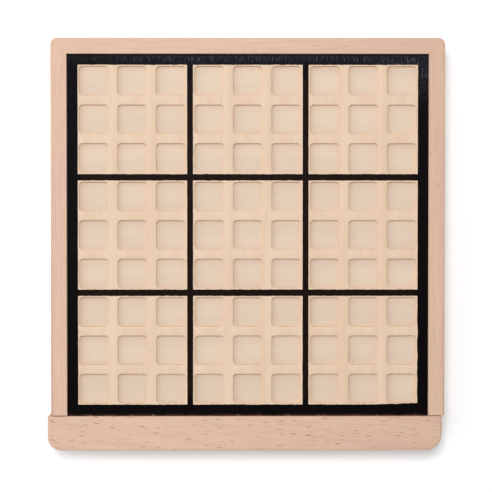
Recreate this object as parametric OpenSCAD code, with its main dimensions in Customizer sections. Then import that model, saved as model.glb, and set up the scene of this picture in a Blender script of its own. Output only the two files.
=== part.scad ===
// Sudoku board: a beech frame that is open at the front, a play panel with 81 tile pockets,
// and a drawer under the panel that holds the number tiles.
// Millimetres. The board lies on z = 0, +X is to the right, and the drawer pulls out towards -Y.
// The origin is under the middle of the closed board, on the play field's centre line.

/* [Play field] */
// Distance from the middle of one cell to the middle of the next
cell_pitch = 23; // [21:0.5:30]
// Width of a tile pocket
pocket_w = 17.5; // [12:0.5:18.5]
// Corner radius of a pocket
pocket_r = 2.2; // [0.5:0.1:3]
// Width of a black line that runs front to back between two blocks
line_w = 3.5; // [1:0.1:4.2]
// Width of a black line that runs across, along which the coat has spread further
cross_line_w = 3.8; // [1:0.1:4.4]
// Pale margin between the outer pockets and the black border
border_margin = 0.9; // [0.3:0.1:3]
// Width of the black border, up to the rails
border_w = 6.4; // [2:0.1:15]
// Thickness of the black coat
print_t = 0.1; // [0.05:0.05:0.3]
// Thickness of the windowed face sheet, which is the depth of a pocket
face_t = 2.5; // [1:0.5:4]
// Thickness of the plain sheet under it
backing_t = 2.5; // [1.5:0.5:5]

/* [Frame] */
// Width of a rail seen from above
rail_w = 9.6; // [8:0.1:20]
// Height of the rails
frame_h = 30; // [28:0.5:45]
// How far the play panel lies below the tops of the rails
panel_drop = 2; // [1:0.5:5]
// How far the play panel reaches into the rails
panel_tongue = 4; // [2:0.5:5]
// Width of the ledge in the rails' undersides that takes the base panel
rabbet_w = 5; // [3:0.5:6]
// Thickness of the base panel
base_t = 3; // [2:0.5:5]
// Radius of the frame's two outer corners at the back
corner_r = 4; // [1:0.5:8]
// Room left round a panel in its groove or ledge
panel_fit = 0.1; // [0.05:0.05:0.3]

/* [Front bar] */
// Depth of the bar, front to back
bar_d = 20.6; // [14:0.2:40]
// How much longer the bar is than the frame is wide
bar_over = 0.8; // [0:0.1:4]
// Radius of the bar's front corner on the left
bar_r_left = 8; // [1:0.5:12]
// Radius of the bar's front corner on the right
bar_r_right = 9.7; // [1:0.1:12]
// How far the bar is fixed off the middle of the board, to the right
bar_shift = -1.8; // [-4:0.1:4]
// Room between the bar and the ends of the rails
bar_gap = 0.4; // [0.2:0.1:1]
// Room under the bar
bar_lift = 0.5; // [0.2:0.1:1.5]

/* [Drawer tray] */
// Thickness of the four strips round the tray
strip_t = 6; // [4:0.5:10]
// Thickness of the tray's base
tray_base_t = 3; // [2:0.5:4]
// Room between the tray and each side rail
tray_side_gap = 0.7; // [0.3:0.1:2]
// Room between the tray and the back rail
tray_back_gap = 2; // [0.5:0.5:5]
// Room between the tray and the base panel it slides on
tray_floor_gap = 0.3; // [0.2:0.1:0.6]
// Room between the tray and the play panel above it
tray_top_gap = 1.7; // [0.5:0.1:3]

/* [Number tiles] */
// Thickness of a tile
tile_t = 5; // [3:0.5:7]
// Room round a tile in its pocket
tile_fit = 0.5; // [0.2:0.1:1]
// Corner radius of a tile
tile_r = 1.8; // [0.3:0.1:3]
// The most that a loose tile lies turned in the tray, in degrees
tile_turn = 5; // [0:1:8]

/* [Fasteners] */
// Shank diameter of a brad
brad_d = 1.2; // [0.8:0.1:1.6]
// Head diameter of a brad
brad_head_d = 2.2; // [1.8:0.1:3]
// Head thickness of a brad
brad_head_t = 0.5; // [0.3:0.1:1]
// Length of the brads under the base panel and the tray
base_brad_l = 11; // [8:1:14]
// Length of the brads in the tray's corners
corner_brad_l = 16; // [12:1:20]
// Shank diameter of the screws in the front bar
screw_d = 3; // [2:0.5:4]
// Head diameter of the screws
screw_head_d = 6; // [5:0.5:7]
// Length of the screws
screw_l = 16; // [12:1:20]
// Distance between the screws
screw_spacing = 65; // [40:5:85]
// Room round a brad or a screw in its hole
hole_fit = 0.05; // [0.02:0.01:0.15]

/* [Hidden] */
$fn = 48;

// A sudoku has nine rows of nine cells, in blocks of three by three
cells = 9;
block = 3;
// How far a cut runs past the faces it goes through
past = 1;

// Plan sizes
wall_w = cell_pitch - pocket_w;
field_w = cells * cell_pitch - wall_w + 2 * border_margin;
open_w = field_w + 2 * border_w;
frame_w = open_w + 2 * rail_w;
frame_d = open_w + rail_w;
bar_w = frame_w + bar_over;
total_d = frame_d + bar_gap + bar_d;
tile_w = pocket_w - 2 * tile_fit;

// Places from back to front
back_y = total_d / 2;
rail_face_y = back_y - rail_w;
front_y = rail_face_y - open_w;
field_y = (rail_face_y + front_y) / 2;
bar_back_y = front_y - bar_gap;
bar_front_y = bar_back_y - bar_d;

// Heights
panel_z = frame_h - panel_drop;
face_z = panel_z - face_t;
backing_z = face_z - backing_t;
tray_z = base_t + tray_floor_gap;
strip_z = tray_z + tray_base_t;
strip_h = backing_z - tray_top_gap - strip_z;

// Tray
tray_w = open_w - 2 * tray_side_gap;
tray_back_y = rail_face_y - tray_back_gap;
tray_d = tray_back_y - bar_back_y;
tray_in_w = tray_w - 2 * strip_t;
tray_in_d = tray_d - 2 * strip_t;
tray_in_y = bar_back_y + strip_t;

// Loose tiles: each has its own share of the tray's floor and lies somewhere in it
tile_slot_x = tray_in_w / cells;
tile_slot_y = tray_in_d / cells;
tile_sweep = tile_w * (cos(tile_turn) + sin(tile_turn));
tile_play_x = (tile_slot_x - tile_sweep) / 2;
tile_play_y = (tile_slot_y - tile_sweep) / 2;
// Share of that play that a tile may use up
tile_scatter = 0.7;

// Fasteners
brad_tip = 1.2;
screw_head_h = (screw_head_d - screw_d) / 2;
screw_tip = screw_d;
screw_z = strip_z + strip_h / 2;
screw_slot_l = 0.6 * screw_head_d;
screw_slot_w = 0.14 * screw_head_d;
screw_slot_h = 0.55 * screw_head_h;
point_share = 0.25;
brads_per_side = 4;
brads_at_back = 3;
// Heights of the two brads in each tray corner, as shares of the strips' height
corner_brad_shares = [0.25, 0.75];
rabbet_mid = open_w / 2 + rabbet_w / 2;

// Colours
beech = [0.88, 0.74, 0.65];
pale_ply = [0.92, 0.81, 0.71];
plain_ply = [0.89, 0.79, 0.68];
black_paint = [0.09, 0.08, 0.09];
tray_pine = [0.90, 0.80, 0.64];
tile_maple = [0.91, 0.80, 0.66];
steel = [0.62, 0.62, 0.64];

// A place along a row of `count` that runs evenly from `low` to `high`, half a step in from the ends
function spread(low, high, count, index) = low + (high - low) * (index + 0.5) / count;

// The middle of a cell, counted from the field's middle
function cell_at(index) = (index - (cells - 1) / 2) * cell_pitch;

// The edges of a block's pale square, counted from the field's middle
function block_low(index, line) =
  index == 0 ? -field_w / 2 : (index - block / 2) * block * cell_pitch + line / 2;
function block_high(index, line) = -block_low(block - 1 - index, line);

// A number from -1 to 1 that differs from tile to tile
function scatter(digit, copy, seed) = sin(137 * digit + 71 * copy + 53 * digit * copy + seed);

// A square with round corners, centred
module rounded_square(side, radius) {
  reach = side / 2 - radius;
  square([side, 2 * reach], center = true);
  square([2 * reach, side], center = true);
  for (x = [-reach, reach], y = [-reach, reach])
    translate([x, y]) circle(radius);
}

// What is cut off a square corner at the origin, which lies towards +X and +Y, to round it
module corner_waste(radius) {
  difference() {
    translate([-past, -past]) square(radius + past);
    translate([radius, radius]) circle(radius);
  }
}

// A brad with its head's face at the origin, driven along +Z
module brad(length) {
  cylinder(d = brad_head_d, h = brad_head_t);
  cylinder(d = brad_d, h = length - brad_tip);
  translate([0, 0, length - brad_tip]) cylinder(d1 = brad_d, d2 = point_share * brad_d, h = brad_tip);
}

// The hole that a brad sits in
module brad_hole(length) {
  translate([0, 0, -past]) cylinder(d = brad_d + 2 * hole_fit, h = length + hole_fit + past);
  translate([0, 0, -past]) cylinder(d = brad_head_d + 2 * hole_fit, h = brad_head_t + hole_fit + past);
}

// Places of the brads under the base panel
module at_base_brads() {
  for (side = [-1, 1], index = [0 : brads_per_side - 1])
    translate([side * rabbet_mid, spread(front_y, rail_face_y, brads_per_side, index), 0]) children();
  for (index = [0 : brads_at_back - 1])
    translate([spread(-open_w / 2, open_w / 2, brads_at_back, index), rail_face_y + rabbet_w / 2, 0])
      children();
}

// Places of the brads under the tray: along both sides, and between the screws in front and behind
module at_tray_base_brads() {
  for (side = [-1, 1], index = [0 : brads_per_side - 1])
    translate([
      side * (tray_w - strip_t) / 2,
      spread(tray_in_y, tray_back_y - strip_t, brads_per_side, index),
      tray_z
    ])
      children();
  for (side = [-1, 1], y = [tray_in_y - strip_t / 2, tray_back_y - strip_t / 2])
    translate([side * screw_spacing / 2, y, tray_z]) children();
}

// Places of the brads through the tray's sides into the ends of its front and back strips
module at_tray_corner_brads() {
  for (side = [-1, 1], y = [tray_in_y - strip_t / 2, tray_back_y - strip_t / 2], share = corner_brad_shares)
    translate([side * tray_w / 2, y, strip_z + share * strip_h]) rotate([0, -90 * side, 0]) children();
}

// Places of the screws through the tray's front strip into the bar
module at_front_screws() {
  for (index = [-1, 0, 1])
    translate([index * screw_spacing, tray_in_y, screw_z]) rotate([90, 0, 0]) children();
}

// The three rails as one ring, before it is parted at the mitres
module frame_ring() {
  difference() {
    linear_extrude(frame_h) difference() {
      translate([-frame_w / 2, front_y]) square([frame_w, frame_d]);
      for (side = [-1, 1])
        translate([side * frame_w / 2, back_y]) rotate(side < 0 ? -90 : 180) corner_waste(corner_r);
    }
    translate([-open_w / 2, front_y - past, -past])
      cube([open_w, open_w + past, frame_h + 2 * past]);
    translate([-open_w / 2 - panel_tongue - panel_fit, front_y - past, backing_z])
      cube([
        open_w + 2 * (panel_tongue + panel_fit),
        open_w + panel_tongue + panel_fit + past,
        panel_z - backing_z + panel_fit
      ]);
    translate([-open_w / 2 - rabbet_w - panel_fit, front_y - past, -past])
      cube([open_w + 2 * (rabbet_w + panel_fit), open_w + rabbet_w + panel_fit + past, base_t + past]);
    at_base_brads() brad_hole(base_brad_l);
  }
}

// The ground plan that one side rail takes of the ring, outside its mitre
module side_share(side) {
  reach = rail_w + past;
  linear_extrude(frame_h)
    polygon([
      [side * open_w / 2, front_y - past],
      [side * open_w / 2, rail_face_y],
      [side * (open_w / 2 + reach), rail_face_y + reach],
      [side * (open_w / 2 + reach), front_y - past]
    ]);
}

module left_rail() {
  color(beech) intersection() {
    frame_ring();
    side_share(-1);
  }
}

module right_rail() {
  color(beech) intersection() {
    frame_ring();
    side_share(1);
  }
}

module back_rail() {
  reach = rail_w + past;
  color(beech) intersection() {
    frame_ring();
    linear_extrude(frame_h)
      polygon([
        [-open_w / 2, rail_face_y],
        [open_w / 2, rail_face_y],
        [open_w / 2 + reach, rail_face_y + reach],
        [-open_w / 2 - reach, rail_face_y + reach]
      ]);
  }
}

module base_panel() {
  color(plain_ply) difference() {
    translate([-open_w / 2 - rabbet_w, front_y, 0])
      cube([open_w + 2 * rabbet_w, open_w + rabbet_w, base_t]);
    at_base_brads() brad_hole(base_brad_l);
  }
}

module base_brads() {
  color(steel) at_base_brads() brad(base_brad_l);
}

// A sheet of the play panel, which reaches into the grooves on three sides
module panel_sheet(thickness) {
  translate([-open_w / 2 - panel_tongue, front_y, 0])
    cube([open_w + 2 * panel_tongue, open_w + panel_tongue, thickness]);
}

module backing_sheet() {
  color(plain_ply) translate([0, 0, backing_z]) panel_sheet(backing_t);
}

module face_sheet() {
  color(pale_ply) translate([0, 0, face_z]) difference() {
    panel_sheet(face_t);
    for (column = [0 : cells - 1], row = [0 : cells - 1])
      translate([cell_at(column), field_y + cell_at(row), -past])
        linear_extrude(face_t + 2 * past) rounded_square(pocket_w, pocket_r);
  }
}

module printed_grid() {
  color(black_paint) translate([0, 0, panel_z]) linear_extrude(print_t) difference() {
    translate([-open_w / 2 + panel_fit, front_y]) square([open_w - 2 * panel_fit, open_w - panel_fit]);
    for (column = [0 : block - 1], row = [0 : block - 1])
      translate([block_low(column, line_w), field_y + block_low(row, cross_line_w)])
        square([
          block_high(column, line_w) - block_low(column, line_w),
          block_high(row, cross_line_w) - block_low(row, cross_line_w)
        ]);
  }
}

module front_bar() {
  color(beech) difference() {
    translate([bar_shift - bar_w / 2, bar_front_y, bar_lift])
      linear_extrude(frame_h - bar_lift) difference() {
        square([bar_w, bar_d]);
        corner_waste(bar_r_left);
        translate([bar_w, 0]) rotate(90) corner_waste(bar_r_right);
      }
    at_front_screws() screw_hole();
  }
}

// A countersunk wood screw with its head's face at the origin, driven along +Z
module screw() {
  difference() {
    union() {
      cylinder(d1 = screw_head_d, d2 = screw_d, h = screw_head_h);
      cylinder(d = screw_d, h = screw_l - screw_tip);
      translate([0, 0, screw_l - screw_tip])
        cylinder(d1 = screw_d, d2 = point_share * screw_d, h = screw_tip);
    }
    for (turn = [0, 90])
      rotate(turn) cube([screw_slot_l, screw_slot_w, 2 * screw_slot_h], center = true);
  }
}

// The hole that a screw sits in, with its countersink
module screw_hole() {
  hole_d = screw_d + 2 * hole_fit;
  sink_d = screw_head_d + 2 * hole_fit;
  translate([0, 0, -past]) cylinder(d = hole_d, h = screw_l + hole_fit + past);
  cylinder(d1 = sink_d, d2 = hole_d, h = screw_head_h);
}

module front_screws() {
  color(steel) at_front_screws() screw();
}

// One of the tray's long strips, at its left or right side
module tray_side(side) {
  color(tray_pine) difference() {
    translate([side * (tray_w - strip_t) / 2 - strip_t / 2, bar_back_y, strip_z])
      cube([strip_t, tray_d, strip_h]);
    at_tray_corner_brads() brad_hole(corner_brad_l);
    at_tray_base_brads() brad_hole(base_brad_l);
  }
}

// One of the tray's short strips, between its sides
module tray_cross(y) {
  color(tray_pine) difference() {
    translate([-tray_in_w / 2, y, strip_z]) cube([tray_in_w, strip_t, strip_h]);
    at_tray_corner_brads() brad_hole(corner_brad_l);
    at_tray_base_brads() brad_hole(base_brad_l);
    at_front_screws() screw_hole();
  }
}

module tray_left_side() {
  tray_side(-1);
}

module tray_right_side() {
  tray_side(1);
}

module tray_back() {
  tray_cross(tray_back_y - strip_t);
}

module tray_inner_front() {
  tray_cross(bar_back_y);
}

module tray_base() {
  color(plain_ply) difference() {
    translate([-tray_w / 2, bar_back_y, tray_z]) cube([tray_w, tray_d, tray_base_t]);
    at_tray_base_brads() brad_hole(base_brad_l);
  }
}

module tray_corner_brads() {
  color(steel) at_tray_corner_brads() brad(corner_brad_l);
}

module tray_base_brads() {
  color(steel) at_tray_base_brads() brad(base_brad_l);
}

// The nine tiles of one number, in a loose row across the tray
module tile_set(digit) {
  row_y = tray_in_y + tile_slot_y * (digit - 0.5);
  color(tile_maple)
    for (copy = [1 : cells])
      translate([
        tile_slot_x * (copy - (cells + 1) / 2) + tile_scatter * tile_play_x * scatter(digit, copy, 0),
        row_y + tile_scatter * tile_play_y * scatter(digit, copy, 90),
        strip_z
      ])
        rotate(tile_turn * scatter(digit, copy, 200))
          linear_extrude(tile_t) rounded_square(tile_w, tile_r);
}

left_rail();
right_rail();
back_rail();
base_panel();
base_brads();
backing_sheet();
face_sheet();
printed_grid();
front_bar();
front_screws();
tray_left_side();
tray_right_side();
tray_back();
tray_inner_front();
tray_base();
tray_corner_brads();
tray_base_brads();
tile_set(1);  // tiles_1
tile_set(2);  // tiles_2
tile_set(3);  // tiles_3
tile_set(4);  // tiles_4
tile_set(5);  // tiles_5
tile_set(6);  // tiles_6
tile_set(7);  // tiles_7
tile_set(8);  // tiles_8
tile_set(9);  // tiles_9
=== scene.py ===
"""Dresses a sudoku board: a beech frame, a play panel with 81 tile pockets and a drawer of number tiles.

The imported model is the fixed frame. Pieces are metres in that frame: the board lies on z = 0, +X is to the
right and the drawer pulls out towards -Y.
"""

import math

import bmesh
import bpy
from mathutils import Matrix, Vector, noise


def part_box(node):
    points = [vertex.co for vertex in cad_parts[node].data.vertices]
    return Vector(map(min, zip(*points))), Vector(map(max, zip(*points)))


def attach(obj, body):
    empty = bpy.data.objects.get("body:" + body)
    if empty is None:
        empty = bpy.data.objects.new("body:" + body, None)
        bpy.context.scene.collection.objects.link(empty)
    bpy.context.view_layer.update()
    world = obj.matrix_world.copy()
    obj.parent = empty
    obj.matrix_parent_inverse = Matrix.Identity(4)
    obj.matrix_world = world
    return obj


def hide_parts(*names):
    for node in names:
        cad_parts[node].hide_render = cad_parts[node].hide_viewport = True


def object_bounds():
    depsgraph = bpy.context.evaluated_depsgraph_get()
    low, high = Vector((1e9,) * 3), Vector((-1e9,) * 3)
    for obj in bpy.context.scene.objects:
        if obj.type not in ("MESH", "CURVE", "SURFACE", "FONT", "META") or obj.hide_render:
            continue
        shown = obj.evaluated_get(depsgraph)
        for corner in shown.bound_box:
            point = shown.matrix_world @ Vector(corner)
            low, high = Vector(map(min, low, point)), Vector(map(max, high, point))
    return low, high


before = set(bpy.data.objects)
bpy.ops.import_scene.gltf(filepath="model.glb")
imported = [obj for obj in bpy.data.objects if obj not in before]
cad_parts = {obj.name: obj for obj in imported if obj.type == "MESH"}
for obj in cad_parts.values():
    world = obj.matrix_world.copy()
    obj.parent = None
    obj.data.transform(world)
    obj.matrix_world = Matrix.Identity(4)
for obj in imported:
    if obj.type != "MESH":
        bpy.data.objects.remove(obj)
CAD_LOW, CAD_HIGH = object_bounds()

bl_info = {
    "name": "Sudoku Board",
    "version": (1, 0, 0),
    "blender": (4, 5, 0),
    "location": "View3D > Sidebar > Sudoku",
    "description": "Builds the visible pieces of a wooden sudoku board with a drawer",
    "category": "Object",
}

MM = 0.001
CELLS = 9
BLOCK = 3

# Vertices nearer than this are one, and faces this flat to each other are one face
WELD = 0.002 * MM
FLAT = math.radians(0.3)
# Edges sharper than this get eased or stay creased
SHARP = math.radians(35)
# Two places this near are on the same line of the model
NEAR = 0.05 * MM
# The floor lies this far under the board and is this wide to each side
FLOOR_GAP = 0.05 * MM
FLOOR_RADIUS = 4.0
# Light between the floor and an underside is steep if its way is at most this many times the height
STEEP = 1.2

# Ragged edges: the step between points, and the length of a wave along and across the grain
RAG_STEP = 0.4 * MM
ALONG_GRAIN = 5 * MM
ACROSS_GRAIN = 1.6 * MM
# Chips in the coat's front edge: how long one is, and the level that the noise has to pass
CHIP_GRAIN = 1.3 * MM
CHIP_LEVEL = 0.32
# The coat has run in at one block's corner, from this share of its width and over this depth
CREEP_FROM = 0.55
CREEP_DEPTH = 3 * MM
# Painted shade along the pockets' walls: its width in millimetres, and its share of the way to the fibres'
# colour
WALL_SHADE_WIDTH = 3.2
WALL_SHADE_DEPTH = 0.06
# Millimetres across the board over which the frame's wood gets painted shade, darker towards the right
RIGHT_SHADE_SPAN = (-30.0, 118.0)
# Where the lines inside the border are drawn lighter: millimetres from the panel's front edge, and from its
# middle to the sides
INNER_LINES_FRONT = (9.0, 14.0)
INNER_LINES_BACK = (205.0, 199.0)
INNER_LINES_SIDES = (102.0, 98.0)
INNER_LINES_LIFT = 0.14
# This share of a digit's thickness is in the tile
DIGIT_SUNK = 0.1


def linear(red, green, blue):
    """Linear values of an 8-bit screen colour."""
    shares = (channel / 255 for channel in (red, green, blue))
    return tuple(s / 12.92 if s <= 0.04045 else ((s + 0.055) / 1.055) ** 2.4 for s in shares)


def length_prop(name, description, millimetres):
    """A length that is shown in the scene's unit."""
    return bpy.props.FloatProperty(
        name=name, description=description, default=millimetres * MM, min=0.0, precision=5, unit="LENGTH"
    )


def share_prop(name, description, default):
    """A number from nothing to a few times the whole."""
    return bpy.props.FloatProperty(
        name=name, description=description, default=default, min=0.0, max=4.0, subtype="FACTOR"
    )


def colour_prop(name, description, red, green, blue):
    """A colour, given as it looks on screen."""
    return bpy.props.FloatVectorProperty(
        name=name,
        description=description,
        default=linear(red, green, blue),
        min=0.0,
        max=1.0,
        size=3,
        subtype="COLOR",
    )


class SudokuSizes(bpy.types.PropertyGroup):
    """Sizes of the play field and of the worked edges."""

    cell_pitch: length_prop("Cell pitch", "From the middle of one cell to the next", 23)
    pocket_width: length_prop("Pocket width", "Width of a tile pocket", 17.5)
    pocket_radius: length_prop("Pocket corner", "Corner radius of a tile pocket", 2.2)
    pocket_ease: length_prop("Pocket edge", "Rounding of a pocket's upper edge", 0.3)
    pocket_fray: length_prop("Pocket fray", "How far a pocket's cut across the grain wanders", 0.07)
    line_width: length_prop("Line width", "Width of a black line that runs front to back", 3.5)
    cross_width: length_prop("Cross line width", "Width of a black line that runs across", 3.8)
    border_margin: length_prop("Border margin", "Pale margin between the outer pockets and the border", 0.78)
    bleed_across: length_prop("Bleed along the grain", "How far the coat creeps along the fibres", 0.2)
    bleed_along: length_prop("Bleed across the grain", "How far the coat's other edges wander", 0.08)
    corner_bleed: length_prop("Corner bleed", "How far the coat wanders by the front right block", 0.28)
    corner_creep: length_prop("Corner creep", "How far the coat has run in at the front right corner", 0.9)
    front_chips: length_prop("Front chips", "How far the coat is chipped at the panel's front edge", 1.3)
    rail_ease: length_prop("Rail edge", "Rounding of the rails' outer edges", 1.6)
    rail_inner_ease: length_prop("Rail inner edge", "Rounding of the rails' edges along the panel", 0.15)
    bar_ease: length_prop("Bar edge", "Rounding of the front bar's outer edges", 1.6)
    joint_ease: length_prop("Joint edge", "Rounding where the bar and the rails meet", 0.15)
    panel_ease: length_prop("Panel edge", "Rounding of the plywood panels' edges", 0.2)
    strip_ease: length_prop("Strip edge", "Rounding of the tray strips' edges", 0.5)
    tile_ease: length_prop("Tile edge", "Rounding of the number tiles' edges", 0.6)
    digit_height: length_prop("Digit height", "Height of the digits on the tiles", 10)
    digit_thickness: length_prop("Digit thickness", "Thickness of the printed digits", 0.06)


class SudokuColours(bpy.types.PropertyGroup):
    """Colours of the woods, the coat and the metal."""

    beech_pale: colour_prop("Beech, pale", "Paler bands of the frame's wood", 231, 196, 169)
    beech_rose: colour_prop("Beech, rose", "Rosier bands of the frame's wood", 230, 191, 170)
    beech_fleck: colour_prop("Beech, fleck", "Short dark flecks in the frame's wood", 158, 112, 88)
    lattice_pale: colour_prop("Lattice, pale", "Paler bands of the windowed sheet", 238, 211, 184)
    lattice_warm: colour_prop("Lattice, warm", "Warmer bands of the windowed sheet", 234, 204, 175)
    lattice_fibre: colour_prop("Lattice, fibre", "Darker fibres of the windowed sheet", 190, 148, 108)
    floor_pale: colour_prop("Pocket floor, pale", "Paler bands of the pockets' floors", 238, 216, 193)
    floor_grey: colour_prop("Pocket floor, grey", "Greyer bands of the pockets' floors", 233, 211, 190)
    floor_fibre: colour_prop("Pocket floor, fibre", "Darker fibres of the pockets' floors", 186, 150, 116)
    coat: colour_prop("Coat", "The black border and lines", 8, 4, 6)
    coat_worn: colour_prop("Coat, worn", "Worn places of the coat", 70, 42, 30)
    # The colour of the painted sheen: a grey reflection of the back light on the coat along the back rail
    coat_grey: colour_prop("Coat, sheen", "Painted sheen in the coat along the back rail", 84, 84, 98)
    pine_pale: colour_prop("Pine, pale", "Early wood of the tray's strips", 236, 210, 166)
    pine_warm: colour_prop("Pine, warm", "Warmer bands of the tray's strips", 229, 196, 146)
    pine_late: colour_prop("Pine, late", "Late wood of the tray's strips", 180, 128, 76)
    maple_pale: colour_prop("Maple, pale", "Paler bands of the tiles", 236, 212, 178)
    maple_warm: colour_prop("Maple, warm", "Warmer bands of the tiles", 228, 198, 160)
    maple_fibre: colour_prop("Maple, fibre", "Darker fibres of the tiles", 176, 134, 94)
    ink: colour_prop("Ink", "The digits on the tiles", 24, 21, 22)
    steel: colour_prop("Steel", "Brads and screws", 150, 150, 154)
    steel_dull: colour_prop("Steel, dull", "Stains on the brads and screws", 104, 99, 94)
    floor: colour_prop("Floor", "What the board lies on", 239, 243, 246)


class SudokuStage(bpy.types.PropertyGroup):
    """The camera and the studio light."""

    eye: bpy.props.FloatVectorProperty(
        name="Eye",
        description="Place of the camera",
        default=(-8.46 * MM, 23.37 * MM, 1.03),
        size=3,
        precision=5,
        subtype="TRANSLATION",
        unit="LENGTH",
    )
    turn: bpy.props.FloatVectorProperty(
        name="Turn",
        description="How the camera is turned from looking straight down",
        default=(math.radians(-1.3845), math.radians(-0.4208), math.radians(-0.002)),
        size=3,
        precision=5,
        subtype="EULER",
        unit="ROTATION",
    )
    lens: bpy.props.FloatProperty(
        name="Lens",
        description="Focal length on a 36 mm wide sensor",
        default=122.671,
        min=10.0,
        unit="CAMERA",
    )
    back_share: share_prop("Back light", "Share of the light that comes from behind the board", 0.43)
    left_share: share_prop("Left light", "Share of the light that comes from the left", 0.2)
    horizon: share_prop("Horizon", "Brightness of the studio round the horizon", 1.1)
    zenith: share_prop("Zenith", "Brightness of the studio overhead", 0.1)
    floor_lift: share_prop("Floor lift", "How far the picture shows the floor above its plain level", 0.42)


class Finish:
    """A material under construction, with short calls that add a node and link it."""

    def __init__(self, name):
        self.material = bpy.data.materials.new(name)
        self.material.use_nodes = True
        self.tree = self.material.node_tree
        self.shader = self.tree.nodes["Principled BSDF"]
        self.coordinates = self.tree.nodes.new("ShaderNodeTexCoord")

    def put(self, value, socket):
        """Links a socket, or sets a plain value."""
        if isinstance(value, bpy.types.NodeSocket):
            self.tree.links.new(value, socket)
        elif socket.type == "RGBA":
            socket.default_value = (*value, 1.0)
        else:
            socket.default_value = value

    def node(self, kind, values, **settings):
        """A node with its inputs filled in by their place in the list."""
        made = self.tree.nodes.new(kind)
        for setting, value in settings.items():
            setattr(made, setting, value)
        for place, value in values.items():
            self.put(value, made.inputs[place])
        return made

    def math(self, operation, first, second=0.0, third=0.0):
        """One sum on plain numbers."""
        return self.node("ShaderNodeMath", {0: first, 1: second, 2: third}, operation=operation).outputs[0]

    def vector(self, operation, first, second):
        """One sum on places."""
        return self.node("ShaderNodeVectorMath", {0: first, 1: second}, operation=operation).outputs[0]

    def split(self, place):
        """The three numbers of a place."""
        return self.node("ShaderNodeSeparateXYZ", {0: place}).outputs

    def join(self, x, y, z):
        """A place from three numbers."""
        return self.node("ShaderNodeCombineXYZ", {0: x, 1: y, 2: z}).outputs[0]

    def span(self, value, low, high, start=0.0, end=1.0):
        """A smooth step from start to end while a number goes from low to high."""
        values = {0: value, 1: low, 2: high, 3: start, 4: end}
        return self.node("ShaderNodeMapRange", values, interpolation_type="SMOOTHSTEP").outputs[0]

    def mix(self, share, first, second):
        """A colour between two."""
        made = self.node("ShaderNodeMix", {0: share, 6: first, 7: second}, data_type="RGBA")
        return made.outputs[2]

    def stretch(self, place, along, across, up):
        """A place counted in steps of these lengths."""
        return self.vector("DIVIDE", place, (along, across, up))

    def clouds(self, place, detail=2.0, roughness=0.5):
        """Soft noise, one cloud to a step."""
        values = {"Vector": place, "Scale": 1.0, "Detail": detail, "Roughness": roughness}
        return self.node("ShaderNodeTexNoise", values).outputs[0]

    def grains(self, place):
        """Scattered points: how far the nearest is, and its own chance number."""
        made = self.node("ShaderNodeTexVoronoi", {"Vector": place, "Scale": 1.0, "Randomness": 1.0})
        return made.outputs["Distance"], self.split(made.outputs["Color"])[0]

    def place_mm(self):
        """The place on the piece, in millimetres of the model's frame."""
        return self.vector("MULTIPLY", self.coordinates.outputs["Object"], (1 / MM, 1 / MM, 1 / MM))

    def set(self, colour, roughness, height, depth, shine=0.5):
        """Fills in the shader. Height times depth, in millimetres, is the relief."""
        self.put(colour, self.shader.inputs["Base Color"])
        self.put(roughness, self.shader.inputs["Roughness"])
        values = {"Strength": 1.0, "Distance": depth * MM, "Height": height}
        self.put(self.node("ShaderNodeBump", values).outputs[0], self.shader.inputs["Normal"])
        self.shader.inputs["Specular IOR Level"].default_value = shine
        return self.material


class Wood:
    """What sets one kind of wood apart: lengths in millimetres, depths as shares of the way to fibre."""

    def __init__(self, pale, warm, fibre, **traits):
        self.pale = pale
        self.warm = warm
        self.fibre = fibre
        self.band = 5.0
        self.band_length = 110.0
        self.sway = 5.0
        self.pith = 46.0
        self.ring = 3.0
        self.ring_depth = 0.12
        self.fibre_length = 17.0
        self.fibre_width = 0.95
        self.fibre_depth = 0.12
        self.fleck_length = 9.0
        self.fleck_width = 0.9
        self.fleck_share = 0.0
        self.fleck_depth = 0.7
        self.slant = 0.0
        self.end_depth = 0.35
        self.cut_depth = 0.0
        self.plies = 0.0
        self.ply_depth = 0.45
        self.corner_dust = None
        self.right_tan = 0.0
        self.relief = 0.02
        self.roughness = 0.55
        self.shine = 0.3
        for trait, value in traits.items():
            setattr(self, trait, value)


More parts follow.
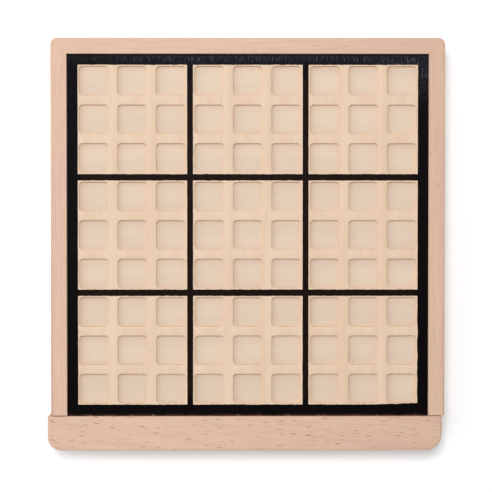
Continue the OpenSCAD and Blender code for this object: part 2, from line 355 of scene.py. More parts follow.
def wood_finish(name, wood, grain, seed):
    """A solid wood: bands, year rings, fibres and flecks that run along one axis, and darker end grain."""
    finish = Finish(name)
    x, y, z = finish.split(finish.place_mm())
    along, across = (x, y) if grain == "X" else (y, x)
    across = finish.math("MULTIPLY_ADD", along, wood.slant, across)
    shift = (31.7 * seed, 17.3 * seed, 7.9 * seed)
    place = finish.vector("ADD", finish.join(along, across, z), shift)

    wander = finish.math("SUBTRACT", finish.clouds(finish.stretch(place, 70, 18, 18)), 0.5)
    sway = finish.math("MULTIPLY", wander, wood.sway)
    bent = finish.vector("ADD", place, finish.join(0.0, sway, sway))

    bands = finish.clouds(finish.stretch(bent, wood.band_length, wood.band, wood.band), 3.0, 0.6)
    colour = finish.mix(finish.span(bands, 0.36, 0.64), wood.pale, wood.warm)

    _, ring_across, ring_up = finish.split(bent)
    pith = finish.math("ADD", ring_up, wood.pith + 9.0 * seed)
    squares = finish.math("MULTIPLY_ADD", ring_across, ring_across, finish.math("MULTIPLY", pith, pith))
    radius = finish.math("SQRT", squares)
    year = finish.math("FRACT", finish.math("DIVIDE", radius, wood.ring))
    late = finish.math("MULTIPLY", finish.math("POWER", year, 3.0), finish.span(year, 1.0, 0.9))
    colour = finish.mix(finish.math("MULTIPLY", late, wood.ring_depth), colour, wood.fibre)

    thread = finish.stretch(bent, wood.fibre_length, wood.fibre_width, wood.fibre_width)
    fibres = finish.clouds(thread, 4.0, 0.66)
    fibre = finish.span(fibres, 0.42, 0.72)
    colour = finish.mix(finish.math("MULTIPLY", fibre, wood.fibre_depth), colour, wood.fibre)

    fleck = 0.0
    if wood.fleck_share:
        distance, chance = finish.grains(
            finish.stretch(bent, wood.fleck_length, wood.fleck_width, wood.fleck_width)
        )
        strength = finish.span(chance, wood.fleck_share, 0.0)
        mark = finish.span(distance, 0.3, 0.12)
        fleck = finish.math("MULTIPLY", mark, strength)
        colour = finish.mix(finish.math("MULTIPLY", fleck, wood.fleck_depth), colour, wood.fibre)

    facing = finish.split(finish.coordinates.outputs["Normal"])
    end = finish.span(finish.math("ABSOLUTE", facing[0 if grain == "X" else 1]), 0.6, 0.9)
    colour = finish.mix(finish.math("MULTIPLY", end, wood.end_depth), colour, wood.fibre)
    # The steep cut faces are darker: partly the cut wood's own tone, partly painted shade in the pockets'
    # walls
    if wood.cut_depth:
        cut = finish.span(finish.math("ABSOLUTE", facing[2]), 0.95, 0.6, 0.0, wood.cut_depth)
        colour = finish.mix(cut, colour, wood.fibre)
    # Painted shade, such as along the pockets' walls
    if wood.corner_dust:
        colour = finish.mix(wood.corner_dust(finish, x, y), colour, wood.fibre)
    # Painted shade: the wood darker towards the board's right, away from the lamps
    if wood.right_tan:
        colour = finish.mix(finish.span(x, *RIGHT_SHADE_SPAN, 0.0, wood.right_tan), colour, wood.fibre)
    if wood.plies:
        edge = finish.span(finish.math("ABSOLUTE", facing[2]), 0.6, 0.3)
        layer = finish.math("FRACT", finish.math("DIVIDE", z, 2 * wood.plies))
        stripe = finish.span(finish.math("ABSOLUTE", finish.math("SUBTRACT", layer, 0.5)), 0.22, 0.28)
        layers = finish.math("MULTIPLY", finish.math("MULTIPLY", edge, stripe), wood.ply_depth)
        colour = finish.mix(layers, colour, wood.fibre)

    dents = finish.math("MULTIPLY_ADD", fleck, -0.8, finish.math("MULTIPLY", fibres, 0.6))
    dull = finish.span(fibres, 0.3, 0.7, wood.roughness - 0.06, wood.roughness + 0.06)
    return finish.set(colour, dull, dents, wood.relief, wood.shine)


def beech(colours, flecks, depth, slant=0.0):
    """The frame's wood, with more or fewer flecks that are more or less dark."""
    return Wood(
        colours.beech_pale,
        colours.beech_rose,
        colours.beech_fleck,
        band=8.0,
        ring=3.4,
        ring_depth=0.09,
        fibre_depth=0.14,
        fleck_share=flecks,
        fleck_depth=depth,
        slant=slant,
        # Painted shade towards the board's right
        right_tan=0.09,
    )


def coat_finish(name, colours, front, back):
    """A black coat with brush marks and a painted sheen along the back rail, worn brown in front, and its
    lines inside the border drawn a little lighter.
    """
    finish = Finish(name)
    place = finish.place_mm()
    x, y, _ = finish.split(place)
    streaks = finish.clouds(finish.stretch(place, 0.5, 4.5, 4.5), 3.0, 0.6)
    # Painted sheen: the back light's grey reflection, streaked along the grain, painted along the back rail
    # and down the right border's back end, and fainter to the left
    reach = finish.span(x, 60.0, 105.0, 9.0, 38.0)
    from_back = finish.math("SUBTRACT", back / MM, y)
    near_back = finish.span(finish.math("DIVIDE", from_back, reach), 1.0, 0.0)
    # Painted shadow of the back rail: the painted sheen stops within about a millimetre of the rail, so the
    # coat stays black there
    near_back = finish.math("MULTIPLY", near_back, finish.span(from_back, 0.4, 1.3))
    sheen_reach = finish.math("MULTIPLY", near_back, finish.span(x, -110.0, -50.0, 0.3, 1.0))
    scratches = finish.clouds(finish.stretch(place, 0.55, 3.2, 3.2), 2.0, 0.5)
    grey = finish.math("MULTIPLY", sheen_reach, finish.span(scratches, 0.52, 0.72, 0.1, 1.0))
    colour = finish.mix(grey, colours.coat, colours.coat_grey)
    from_front = finish.math("SUBTRACT", y, front / MM)
    near_front = finish.span(from_front, 0.3, 1.3, 1.0, 0.0)
    patches = finish.span(finish.clouds(finish.stretch(place, 3.5, 2.5, 5), 3.0, 0.6), 0.3, 0.62)
    colour = finish.mix(finish.math("MULTIPLY", near_front, patches), colour, colours.coat_worn)
    # The lines inside the border are drawn a little lighter and browner than the border, mixed towards the
    # worn colour
    worn = finish.math("MULTIPLY", finish.span(from_front, *INNER_LINES_FRONT), finish.span(from_front, *INNER_LINES_BACK))
    sideways = finish.span(finish.math("ABSOLUTE", x), *INNER_LINES_SIDES, 0.0, INNER_LINES_LIFT)
    colour = finish.mix(finish.math("MULTIPLY", worn, sideways), colour, colours.coat_worn)
    dull = finish.span(streaks, 0.3, 0.7, 0.4, 0.55)
    return finish.set(colour, dull, streaks, 0.02, 0.04)


def ink_finish(name, colours):
    """Printed digits, a little uneven."""
    finish = Finish(name)
    place = finish.place_mm()
    spots = finish.clouds(finish.stretch(place, 0.4, 0.4, 0.4), 3.0, 0.7)
    colour = finish.mix(finish.span(spots, 0.5, 0.8, 0.0, 0.2), colours.ink, colours.coat_worn)
    return finish.set(colour, finish.span(spots, 0.3, 0.7, 0.45, 0.65), spots, 0.01, 0.3)


def steel_finish(name, colours):
    """Drawn steel with dull stains."""
    finish = Finish(name)
    place = finish.place_mm()
    stains = finish.clouds(finish.stretch(place, 1.1, 1.1, 1.1), 4.0, 0.65)
    scratches = finish.clouds(finish.stretch(place, 0.12, 0.9, 0.12), 2.0, 0.5)
    colour = finish.mix(finish.span(stains, 0.45, 0.7), colours.steel, colours.steel_dull)
    finish.shader.inputs["Metallic"].default_value = 1.0
    return finish.set(colour, finish.span(stains, 0.3, 0.7, 0.28, 0.5), scratches, 0.01)


def place_piece(name, mesh, material, body, slot, *nodes):
    """Adds a finished mesh to the scene as a piece that stands for CAD nodes and rides on a body."""
    mesh.materials.clear()
    mesh.materials.append(material)
    piece = bpy.data.objects.new(name, mesh)
    bpy.context.scene.collection.objects.link(piece)
    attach(piece, body)
    if nodes:
        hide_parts(*nodes)
    return piece


def mesh_from(shape, name):
    """Turns a bmesh into a mesh, smooth except at its sharp edges."""
    bmesh.ops.recalc_face_normals(shape, faces=shape.faces)
    for face in shape.faces:
        face.smooth = True
    for edge in shape.edges:
        edge.smooth = not edge.is_manifold or edge.calc_face_angle() < SHARP
    mesh = bpy.data.meshes.new(name)
    shape.to_mesh(mesh)
    shape.free()
    return mesh


def eased_copy(node, name, ease):
    """A copy of a CAD node's mesh and the widths, per edge, that its sharp edges are rounded by.

    ease takes the middle of an edge and the step from one end to the other, and gives the width.
    """
    shape = bmesh.new()
    shape.from_mesh(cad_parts[node].data)
    bmesh.ops.remove_doubles(shape, verts=shape.verts, dist=WELD)
    bmesh.ops.dissolve_limit(shape, angle_limit=FLAT, verts=shape.verts, edges=shape.edges)
    weights = shape.edges.layers.float.new("bevel_weight_edge")
    widths = {}
    for edge in shape.edges:
        if edge.is_manifold and edge.calc_face_angle_signed() > SHARP:
            first, second = (vert.co for vert in edge.verts)
            widths[edge] = ease((first + second) / 2, second - first)
    widest = max(widths.values())
    for edge, width in widths.items():
        edge[weights] = width / widest
    return mesh_from(shape, name), widest


def eased_piece(node, name, ease, material, body, slot):
    """A CAD node with its edges worked round, as a piece in the node's place."""
    mesh, widest = eased_copy(node, name, ease)
    piece = place_piece(name, mesh, material, body, slot, node)
    rounding = piece.modifiers.new("eased edges", "BEVEL")
    rounding.width = widest
    rounding.limit_method = "WEIGHT"
    rounding.segments = 3
    rounding.harden_normals = True
    rounding.use_clamp_overlap = True
    return piece


def long_edges(width, shortest=3 * MM):
    """Eases each long edge of a piece and leaves its drilled holes crisp."""
    return lambda middle, step: width if step.length > shortest else 0.0


class SUDOKU_OT_rails(bpy.types.Operator):
    """Makes the three beech rails, eased outside and inside and flush at the mitres"""

    bl_idname = "sudoku.rails"
    bl_label = "Rails"

    def execute(self, context):
        sizes = context.scene.sudoku_sizes
        colours = context.scene.sudoku_colours
        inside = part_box("left_rail")[1].x
        back_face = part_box("back_rail")[0].y
        front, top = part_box("left_rail")[0].y, CAD_HIGH.z
        mitre_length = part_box("back_rail")[1].y - back_face

        def ease(middle, step):
            level = abs(step.z) < NEAR
            at_end = middle.y < front + NEAR
            at_inside = abs(abs(middle.x) - abs(inside)) < NEAR or abs(middle.y - back_face) < NEAR
            slanted = min(abs(step.x), abs(step.y)) > mitre_length / 3
            if slanted:
                return 0.0
            if at_end:
                return sizes.joint_ease if level and middle.z > top - NEAR else 0.0
            if level and middle.z > top - NEAR:
                return sizes.rail_inner_ease if at_inside else sizes.rail_ease
            if level and middle.z < NEAR and not at_inside:
                at_outside = max(abs(middle.x) - CAD_HIGH.x, middle.y - CAD_HIGH.y) > -2 * MM
                return sizes.rail_ease if at_outside else 0.0
            return 0.0

        rails = (("left_rail", "Y", 0.12), ("right_rail", "Y", 0.5), ("back_rail", "X", 0.3))
        for seed, (node, grain, flecks) in enumerate(rails, 1):
            finish = wood_finish(node + " beech", beech(colours, flecks, 0.4), grain, seed)
            eased_piece(node, node + "_beech", ease, finish, "board", "beech")
        return {"FINISHED"}


class SUDOKU_OT_front_bar(bpy.types.Operator):
    """Makes the drawer's beech front bar with its eased outer edges"""

    bl_idname = "sudoku.front_bar"
    bl_label = "Front bar"

    def execute(self, context):
        sizes = context.scene.sudoku_sizes
        low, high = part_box("front_bar")

        def ease(middle, step):
            if step.z and abs(step.z) > (high.z - low.z) / 2:
                return sizes.joint_ease
            if min(abs(middle.z - low.z), abs(middle.z - high.z)) > NEAR:
                return 0.0
            return sizes.joint_ease if middle.y > high.y - NEAR else sizes.bar_ease

        finish = wood_finish("front bar beech", beech(context.scene.sudoku_colours, 0.9, 1.0, 0.12), "X", 4)
        eased_piece("front_bar", "front_bar_beech", ease, finish, "drawer", "beech")
        return {"FINISHED"}


def pocket_outline(half, radius, sides=10, arcs=6):
    """Points round a square with round corners, from the left of its front edge, anticlockwise.

    arcs is even, so that one point lies on each diagonal.
    """
    points = []
    for quarter in range(4):
        turn = Matrix.Rotation(quarter * math.pi / 2, 2)
        reach = half - radius
        for step in range(sides):
            points.append(turn @ Vector((-reach + 2 * reach * step / sides, -half)))
        for step in range(arcs):
            angle = step / arcs * math.pi / 2
            corner = Vector((reach + radius * math.sin(angle), -reach - radius * math.cos(angle)))
            points.append(turn @ corner)
    return points


def square_outline(half, points):
    """The points of an outline pushed straight out onto a square."""
    return [point * (half / max(abs(point.x), abs(point.y))) for point in points]


def ring_of(shape, points, centre, z):
    """A ring of vertices at one height."""
    return [shape.verts.new((centre.x + point.x, centre.y + point.y, z)) for point in points]


def join_rings(shape, outer, inner):
    """A band of faces between two rings of as many vertices."""
    count = len(outer)
    for place in range(count):
        after = (place + 1) % count
        shape.faces.new((outer[place], outer[after], inner[after], inner[place]))


def frayed(points, half, depth, seed):
    """An outline whose edges across the grain wander a little."""
    moved = []
    for point in points:
        across = max(0.0, 1.0 - abs(point.x) / half) ** 0.3 if abs(point.y) > 0.95 * half else 0.0
        shift = depth * across * noise.noise(Vector((point.x / ACROSS_GRAIN, seed, point.y / half)))
        moved.append(Vector((point.x, point.y + shift)))
    return moved


def lattice_mesh(sizes):
    """The windowed sheet: a rounded window in the square of each cell, and a border to the rails."""
    low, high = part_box("face_sheet")
    middle = play_middle()
    pitch, half = sizes.cell_pitch, sizes.pocket_width / 2
    ease = sizes.pocket_ease
    shape = bmesh.new()
    quarter_round = [math.pi / 2 * step / 3 for step in range(4)]
    for row in range(CELLS):
        for column in range(CELLS):
            centre = middle + pitch * Vector((column - CELLS // 2, row - CELLS // 2))
            seed = 11.3 * row + 3.7 * column
            window = pocket_outline(half, sizes.pocket_radius)
            square = square_outline(pitch / 2, window)
            rings = [ring_of(shape, square, centre, high.z)]
            for angle in quarter_round:
                outset = ease * (1 - math.sin(angle))
                outline = pocket_outline(half + outset, sizes.pocket_radius + outset)
                outline = frayed(outline, half, sizes.pocket_fray, seed)
                rings.append(ring_of(shape, outline, centre, high.z - ease * (1 - math.cos(angle))))
            rings.append(ring_of(shape, window, centre, low.z))
            rings.append(ring_of(shape, square, centre, low.z))
            for outer, inner in zip(rings, rings[1:]):
                join_rings(shape, outer, inner)
    bmesh.ops.remove_doubles(shape, verts=shape.verts, dist=WELD)

    reach = pitch * CELLS / 2
    rim = [edge for edge in shape.edges if edge.is_boundary]
    grown = bmesh.ops.extrude_edge_only(shape, edges=rim)["geom"]
    for vert in (part for part in grown if isinstance(part, bmesh.types.BMVert)):
        if abs(abs(vert.co.x - middle.x) - reach) < NEAR:
            vert.co.x = high.x if vert.co.x > middle.x else low.x
        if abs(abs(vert.co.y - middle.y) - reach) < NEAR:
            vert.co.y = high.y if vert.co.y > middle.y else low.y
    rim = [edge for edge in shape.edges if edge.is_boundary]
    bmesh.ops.bridge_loops(shape, edges=rim)
    return mesh_from(shape, "face_sheet_lattice")


def play_middle():
    """The middle of the play field: the coat's box is the panel between the rails."""
    low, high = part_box("printed_grid")
    left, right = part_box("left_rail")[1].x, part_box("right_rail")[0].x
    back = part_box("back_rail")[0].y
    return Vector(((left + right) / 2, (low.y + back) / 2))


def even_points(start, end):
    """Points from one corner to just before the next, at even steps."""
    count = round((end - start).length / RAG_STEP)
    return [start.lerp(end, step / count) for step in range(count)]


def ragged_side(start, end, outward, bleed, grain, seed):
    """Points from a corner to just before the next, pushed outward by noise that fades at the corners."""
    length = (end - start).length
    plain = even_points(start, end)
    points = []
    for step, point in enumerate(plain):
        travelled = length * step / len(plain)
        fade = min(1.0, travelled / grain, (length - travelled) / grain)
        coarse = noise.noise(Vector((travelled / grain, seed, 0.5)))
        fine = noise.noise(Vector((3.3 * travelled / grain, seed, 8.5)))
        shift = bleed * fade * (coarse + 0.6 * fine)
        points.append(point + outward * shift)
    return points


def block_edges(sizes, index, line_width):
    """Where a block's pale square starts and ends, from the middle of the field."""
    field = CELLS * sizes.cell_pitch - (sizes.cell_pitch - sizes.pocket_width) + 2 * sizes.border_margin
    edges = [-field / 2]
    for line in (-0.5, 0.5):
        edges += [line * BLOCK * sizes.cell_pitch + side * line_width / 2 for side in (-1, 1)]
    edges.append(field / 2)
    return edges[2 * index], edges[2 * index + 1]


def crept(points, low, high, creep):
    """A block's outline where the coat has run in over its front right corner."""
    moved = []
    for point in points:
        right = max(0.0, (point.x - low.x) / (high.x - low.x) - CREEP_FROM) / (1.0 - CREEP_FROM)
        near_front = max(0.0, 1.0 - (point.y - low.y) / CREEP_DEPTH)
        moved.append(point + Vector((0.0, creep * right ** 1.5 * min(1.0, near_front))))
    return moved


def coat_outlines(sizes):
    """The black coat's outer edge and the nine pale squares in it."""
    low, high = (corner.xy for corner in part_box("printed_grid"))
    middle = play_middle()
    chipped = []
    for point in even_points(low, Vector((high.x, low.y))):
        chip = noise.noise(Vector((point.x / CHIP_GRAIN, 4.2, 0.0))) - CHIP_LEVEL
        chipped.append(point + Vector((0.0, sizes.front_chips * max(0.0, chip))))
    outlines = [[*chipped, Vector((high.x, low.y)), high, Vector((low.x, high.y))]]
    across, along = sizes.bleed_across, sizes.bleed_along
    for row in range(BLOCK):
        for column in range(BLOCK):
            left, right = (middle.x + edge for edge in block_edges(sizes, column, sizes.line_width))
            front_edge, back_edge = (middle.y + edge for edge in block_edges(sizes, row, sizes.cross_width))
            corners = [
                Vector((left, front_edge)),
                Vector((right, front_edge)),
                Vector((right, back_edge)),
                Vector((left, back_edge)),
            ]
            points = []
            for side in range(4):
                start, end = corners[side], corners[(side + 1) % 4]
                outward = Vector((end.y - start.y, start.x - end.x)).normalized()
                bleed, grain = (along, ALONG_GRAIN) if side % 2 else (across, ACROSS_GRAIN)
                if side == 1 and row == 0 and column == BLOCK - 1:
                    bleed = sizes.corner_bleed
                points += ragged_side(start, end, outward, bleed, grain, 7.7 * row + 2.9 * column + side)
            if row == 0 and column == BLOCK - 1:
                points = crept(points, corners[0], corners[2], sizes.corner_creep)
            outlines.append(points)
    return outlines


def coat_mesh(sizes):
    """The coat as a thin filled outline with ragged holes."""
    low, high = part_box("printed_grid")
    curve = bpy.data.curves.new("coat outline", "CURVE")
    curve.dimensions = "2D"
    curve.fill_mode = "BOTH"
    curve.extrude = (high.z - low.z) / 2
    for points in coat_outlines(sizes):
        spline = curve.splines.new("POLY")
        spline.points.add(len(points) - 1)
        for place, point in zip(spline.points, points):
            place.co = (point.x, point.y, 0.0, 1.0)
        spline.use_cyclic_u = True
    filled = bpy.data.meshes.new_from_object(bpy.data.objects.new("coat outline", curve))
    shape = bmesh.new()
    shape.from_mesh(filled)
    bmesh.ops.remove_doubles(shape, verts=shape.verts, dist=WELD)
    bmesh.ops.translate(shape, verts=shape.verts, vec=(0.0, 0.0, (low.z + high.z) / 2))
    return mesh_from(shape, "black_coat")


def pocket_dust(sizes):
    """How much painted shade a pocket's floor gets: most along the walls, nothing towards the middle."""
    middle = play_middle() / MM
    pitch, half = sizes.cell_pitch / MM, sizes.pocket_width / 2 / MM

    def share(finish, x, y):
        near = []
        for place, centre in ((x, middle.x), (y, middle.y)):
            from_middle = finish.math("DIVIDE", finish.math("SUBTRACT", place, centre), pitch)
            cell = finish.math("ADD", from_middle, 0.5)
            off = finish.math("ABSOLUTE", finish.math("SUBTRACT", finish.math("FRACT", cell), 0.5))
            near.append(finish.span(finish.math("MULTIPLY", off, pitch), half - WALL_SHADE_WIDTH, half))
        return finish.math("MULTIPLY", finish.math("MAXIMUM", *near), WALL_SHADE_DEPTH)

    return share


class SUDOKU_OT_play_panel(bpy.types.Operator):
    """Makes the play panel: the windowed sheet, the plain sheet under it and the black coat on top"""

    bl_idname = "sudoku.play_panel"
    bl_label = "Play panel"

    def execute(self, context):
        sizes = context.scene.sudoku_sizes
        colours = context.scene.sudoku_colours
        lattice = Wood(
            colours.lattice_pale,
            colours.lattice_warm,
            colours.lattice_fibre,
            band=7.0,
            ring=6.0,
            ring_depth=0.03,
            fibre_depth=0.07,
            fleck_share=0.06,
            fleck_length=4.0,
            fleck_width=0.8,
            fleck_depth=0.3,
            end_depth=0.1,
            # Darker cut faces, partly painted shade in the pockets' walls
            cut_depth=0.15,
            plies=0.7,
        )
        floors = Wood(
            colours.floor_pale,
            colours.floor_grey,
            colours.floor_fibre,
            band=11.0,
            ring=8.0,
            ring_depth=0.03,
            fibre_depth=0.06,
            end_depth=0.1,
            plies=0.8,
            # Painted shade darkens the pockets' floors along their walls
            corner_dust=pocket_dust(sizes),
        )
        finish = wood_finish("lattice ply", lattice, "Y", 5)
        place_piece("face_sheet_lattice", lattice_mesh(sizes), finish, "board", "face_ply", "face_sheet")
        finish = wood_finish("pocket floor ply", floors, "X", 6)
        ease = long_edges(sizes.panel_ease)
        eased_piece("backing_sheet", "backing_sheet_ply", ease, finish, "board", "plain_ply")
        low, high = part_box("printed_grid")
        finish = coat_finish("black coat", colours, low.y, high.y)
        place_piece("black_coat", coat_mesh(sizes), finish, "board", "black_print", "printed_grid")
        return {"FINISHED"}


def base_ply(colours):
    """The plain plywood of the two bottoms."""
    return Wood(
        colours.floor_pale,
        colours.lattice_warm,
        colours.lattice_fibre,
        band=16.0,
        ring=9.0,
        ring_depth=0.16,
        fibre_depth=0.16,
        fleck_share=0.12,
        fleck_width=1.2,
        fleck_depth=0.35,
        end_depth=0.1,
        plies=1.0,
    )


class SUDOKU_OT_base(bpy.types.Operator):
    """Makes the plywood base panel under the frame"""

    bl_idname = "sudoku.base"
    bl_label = "Base panel"

    def execute(self, context):
        finish = wood_finish("base ply", base_ply(context.scene.sudoku_colours), "X", 7)
        ease = long_edges(context.scene.sudoku_sizes.panel_ease)
        eased_piece("base_panel", "base_panel_ply", ease, finish, "board", "plain_ply")
        return {"FINISHED"}


class SUDOKU_OT_tray(bpy.types.Operator):
    """Makes the drawer's tray: four pine strips on a plywood bottom"""

    bl_idname = "sudoku.tray"
    bl_label = "Drawer tray"

    def execute(self, context):
        sizes = context.scene.sudoku_sizes
        colours = context.scene.sudoku_colours
        pine = Wood(
            colours.pine_pale,
            colours.pine_warm,
            colours.pine_late,
            ring=2.6,
            ring_depth=0.4,
            fibre_depth=0.15,
            relief=0.03,
        )
        strips = (
            ("tray_left_side", "Y"),
            ("tray_right_side", "Y"),
            ("tray_back", "X"),
            ("tray_inner_front", "X"),
        )
        for seed, (node, grain) in enumerate(strips, 8):
            finish = wood_finish(node + " pine", pine, grain, seed)
            eased_piece(node, node + "_pine", long_edges(sizes.strip_ease), finish, "drawer", "tray_wood")
        finish = wood_finish("tray base ply", base_ply(colours), "Y", 12)
        ease = long_edges(sizes.panel_ease)
        eased_piece("tray_base", "tray_base_ply", ease, finish, "drawer", "plain_ply")
        return {"FINISHED"}


def tile_places(node):
    """Where each tile of a set lies: its turn and the middle of its upper face."""
    shape = bmesh.new()
    shape.from_mesh(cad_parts[node].data)
    bmesh.ops.remove_doubles(shape, verts=shape.verts, dist=WELD)
    left = set(shape.verts)
    places = []
    while left:
        island, border = set(), [next(vert for vert in shape.verts if vert in left)]
        while border:
            vert = border.pop()
            if vert in left:
                left.discard(vert)
                island.add(vert)
                border += [edge.other_vert(vert) for edge in vert.link_edges]
        top = max(vert.co.z for vert in island)
        middle = sum((vert.co for vert in island), Vector()) / len(island)
        edges = {edge for vert in island for edge in vert.link_edges if len(edge.link_faces) == 2}
        sides = [edge for edge in edges if edge.calc_face_angle() > SHARP and edge.calc_length() > 5 * MM]
        step = max(sides, key=lambda edge: abs(edge.verts[1].co.x - edge.verts[0].co.x))
        along = step.verts[1].co - step.verts[0].co
        turn = math.atan(along.y / along.x)
        places.append(Matrix.Translation((middle.x, middle.y, top)) @ Matrix.Rotation(turn, 4, "Z"))
    shape.free()
    return places


def digit_mesh(digit, places, sizes):
    """One digit's print on each tile of its set."""
    curve = bpy.data.curves.new("digit", "FONT")
    curve.body = str(digit)
    curve.align_x = "CENTER"
    curve.resolution_u = 6
    flat = bpy.data.meshes.new_from_object(bpy.data.objects.new("digit", curve))
    spots = [vert.co for vert in flat.vertices]
    low, high = (Vector(pick(spot[axis] for spot in spots) for axis in range(3)) for pick in (min, max))
    scale = sizes.digit_height / (high.y - low.y)
    shape = bmesh.new()
    for place in places:
        print_only = bmesh.new()
        print_only.from_mesh(flat)
        bmesh.ops.remove_doubles(print_only, verts=print_only.verts, dist=1e-5)
        grown = bmesh.ops.extrude_face_region(print_only, geom=print_only.faces[:])["geom"]
        raised = [part for part in grown if isinstance(part, bmesh.types.BMVert)]
        lift = Vector((0.0, 0.0, sizes.digit_thickness / scale))
        bmesh.ops.translate(print_only, verts=raised, vec=lift)
        centre = Matrix.Translation(-(low + high) / 2 - lift * DIGIT_SUNK)
        print_only.transform(place @ Matrix.Scale(scale, 4) @ centre)
        part = bpy.data.meshes.new("digit print")
        print_only.to_mesh(part)
        print_only.free()
        shape.from_mesh(part)
        bpy.data.meshes.remove(part)
    return mesh_from(shape, f"digits_{digit}")


class SUDOKU_OT_tiles(bpy.types.Operator):
    """Makes the nine sets of number tiles with their printed digits"""

    bl_idname = "sudoku.tiles"
    bl_label = "Number tiles"

    def execute(self, context):
        sizes = context.scene.sudoku_sizes
        colours = context.scene.sudoku_colours
        maple = Wood(
            colours.maple_pale,
            colours.maple_warm,
            colours.maple_fibre,
            band=9.0,
            ring=4.0,
            ring_depth=0.14,
            fibre_depth=0.14,
            fleck_share=0.15,
            fleck_depth=0.4,
            end_depth=0.3,
        )
        ink = ink_finish("digit ink", colours)
        for digit in range(1, CELLS + 1):
            node = f"tiles_{digit}"
            top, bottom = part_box(node)[1].z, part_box(node)[0].z

            def ease(middle, step, levels=(top, bottom)):
                return sizes.tile_ease if min(abs(middle.z - level) for level in levels) < NEAR else 0.0

            finish = wood_finish(f"tile maple {digit}", maple, "Y" if digit % 2 else "X", 12 + digit)
            eased_piece(node, node + "_maple", ease, finish, "drawer", "tile_wood")
            prints = digit_mesh(digit, tile_places(node), sizes)
            place_piece(f"digits_{digit}", prints, ink, "drawer", "black_print")
        return {"FINISHED"}


class SUDOKU_OT_fasteners(bpy.types.Operator):
    """Gives the brads and screws their steel"""

    bl_idname = "sudoku.fasteners"
    bl_label = "Fasteners"

    def execute(self, context):
        steel = steel_finish("fastener steel", context.scene.sudoku_colours)
        for node in ("base_brads", "front_screws", "tray_corner_brads", "tray_base_brads"):
            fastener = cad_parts[node]
            fastener.data.materials.clear()
            fastener.data.materials.append(steel)
        return {"FINISHED"}


def floor_finish(colours, lift):
    """A pale matt floor that the camera sees lifted to white, with the shadows kept.

    It is clear from below, and for steep light to the flat undersides, so they can be looked at.
    """
    finish = Finish("pale floor")
    tree = finish.tree
    path = tree.nodes.new("ShaderNodeLightPath").outputs
    seen = finish.math("MAXIMUM", path["Is Camera Ray"], path["Is Glossy Ray"])
    seen = finish.math("MAXIMUM", seen, path["Is Transmission Ray"])
    level = finish.math("MULTIPLY_ADD", seen, lift, 1.0)
    tint = finish.vector("MULTIPLY", tuple(colours.floor), finish.join(level, level, level))
    matt = finish.node("ShaderNodeBsdfDiffuse", {"Color": tint}).outputs[0]
    tree.nodes.remove(finish.shader)
    below = tree.nodes.new("ShaderNodeNewGeometry").outputs["Backfacing"]
    for node in ("base_panel", "front_bar", "tray_base"):
        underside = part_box(node)[0].z + FLOOR_GAP
        shortest, longest = underside - FLOOR_GAP / 2, STEEP * underside + FLOOR_GAP
        middle, spread = (shortest + longest) / 2, (longest - shortest) / 2
        below = finish.math("MAXIMUM", below, finish.math("COMPARE", path["Ray Length"], middle, spread))
    clear = tree.nodes.new("ShaderNodeBsdfTransparent").outputs[0]
    see_through = finish.node("ShaderNodeMixShader", {0: below, 1: matt, 2: clear})
    finish.put(see_through.outputs[0], tree.nodes["Material Output"].inputs["Surface"])
    return finish.material


def add_floor(colours, lift):
    """A round floor under the board."""
    shape = bmesh.new()
    bmesh.ops.create_circle(shape, cap_ends=True, radius=FLOOR_RADIUS, segments=96)
    mesh = mesh_from(shape, "floor")
    mesh.materials.append(floor_finish(colours, lift))
    floor = bpy.data.objects.new("floor", mesh)
    floor.location.z = -FLOOR_GAP
    bpy.context.scene.collection.objects.link(floor)


def add_panel_light(name, share, size, distance, tilt, heading):
    """A round lamp that gives a level surface this share of a plain exposure.

    tilt is counted from straight above, and heading from the board's back, anticlockwise, in degrees.
    """
    tilt, heading = math.radians(tilt), math.radians(heading)
    light = bpy.data.lights.new(name, "AREA")
    light.shape = "DISK"
    light.size = size
    light.energy = share * math.pi ** 2 * distance ** 2 / math.cos(tilt)
    lamp = bpy.data.objects.new(name, light)
    lamp.matrix_world = (
        Matrix.Rotation(heading, 4, "Z")
        @ Matrix.Rotation(-tilt, 4, "X")
        @ Matrix.Translation((0.0, 0.0, distance))
    )
    bpy.context.scene.collection.objects.link(lamp)


def add_sky(horizon, zenith):
    """A studio that is white round the horizon and dim overhead."""
    world = bpy.data.worlds.new("studio")
    world.use_nodes = True
    bpy.context.scene.world = world
    tree = world.node_tree
    place = tree.nodes.new("ShaderNodeTexCoord").outputs["Generated"]
    height = tree.nodes.new("ShaderNodeSeparateXYZ")
    tree.links.new(place, height.inputs[0])
    fall = tree.nodes.new("ShaderNodeMapRange")
    for socket, value in zip(fall.inputs[1:5], (0.1, 0.9, horizon, zenith)):
        socket.default_value = value
    tree.links.new(height.outputs[2], fall.inputs[0])
    sky = tree.nodes["Background"]
    sky.inputs["Color"].default_value = (1.0, 1.0, 1.0, 1.0)
    tree.links.new(fall.outputs[0], sky.inputs["Strength"])


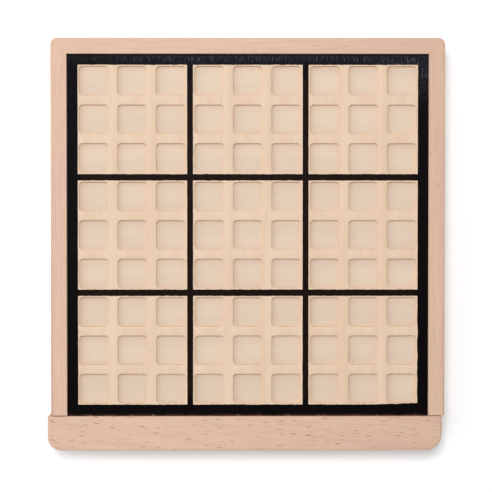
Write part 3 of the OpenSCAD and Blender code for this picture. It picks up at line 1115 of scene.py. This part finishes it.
class SUDOKU_OT_stage(bpy.types.Operator):
    """Sets up the floor, the studio light and the camera"""

    bl_idname = "sudoku.stage"
    bl_label = "Stage"

    def execute(self, context):
        scene = context.scene
        stage = scene.sudoku_stage
        add_floor(scene.sudoku_colours, stage.floor_lift)
        add_panel_light("back light", stage.back_share, size=0.45, distance=1.5, tilt=13, heading=17)
        add_panel_light("left light", stage.left_share, size=2.4, distance=1.6, tilt=50, heading=80)
        add_sky(stage.horizon, stage.zenith)

        lens = bpy.data.cameras.new("camera")
        lens.lens = stage.lens
        lens.sensor_width = 36.0
        lens.clip_start = 0.01
        lens.clip_end = 50.0
        camera = bpy.data.objects.new("camera", lens)
        camera.location = stage.eye
        camera.rotation_euler = stage.turn
        scene.collection.objects.link(camera)
        scene.camera = camera
        scene.view_settings.view_transform = "Standard"
        return {"FINISHED"}


class SUDOKU_PT_builder(bpy.types.Panel):
    """Lists the board's pieces and what can be changed about them"""

    bl_idname = "SUDOKU_PT_builder"
    bl_label = "Sudoku Board"
    bl_space_type = "VIEW_3D"
    bl_region_type = "UI"
    bl_category = "Sudoku"

    def draw(self, context):
        for title, group in (
            ("Sizes", context.scene.sudoku_sizes),
            ("Colours", context.scene.sudoku_colours),
            ("Stage", context.scene.sudoku_stage),
        ):
            box = self.layout.box()
            box.label(text=title)
            for name in group.__annotations__:
                box.prop(group, name)
        for operator in OPERATORS:
            self.layout.operator(operator.bl_idname)


OPERATORS = (
    SUDOKU_OT_rails,
    SUDOKU_OT_front_bar,
    SUDOKU_OT_play_panel,
    SUDOKU_OT_base,
    SUDOKU_OT_tray,
    SUDOKU_OT_tiles,
    SUDOKU_OT_fasteners,
    SUDOKU_OT_stage,
)
GROUPS = {"sudoku_sizes": SudokuSizes, "sudoku_colours": SudokuColours, "sudoku_stage": SudokuStage}


def register():
    for group in GROUPS.values():
        bpy.utils.register_class(group)
    for name, group in GROUPS.items():
        setattr(bpy.types.Scene, name, bpy.props.PointerProperty(type=group))
    for part in (*OPERATORS, SUDOKU_PT_builder):
        bpy.utils.register_class(part)


def unregister():
    for part in (SUDOKU_PT_builder, *reversed(OPERATORS)):
        bpy.utils.unregister_class(part)
    for name in GROUPS:
        delattr(bpy.types.Scene, name)
    for group in reversed(GROUPS.values()):
        bpy.utils.unregister_class(group)


def main():
    register()
    bpy.ops.sudoku.rails()
    bpy.ops.sudoku.front_bar()
    bpy.ops.sudoku.play_panel()
    bpy.ops.sudoku.base()
    bpy.ops.sudoku.tray()
    bpy.ops.sudoku.tiles()
    bpy.ops.sudoku.fasteners()
    bpy.ops.sudoku.stage()


if __name__ == "__main__":
    main()
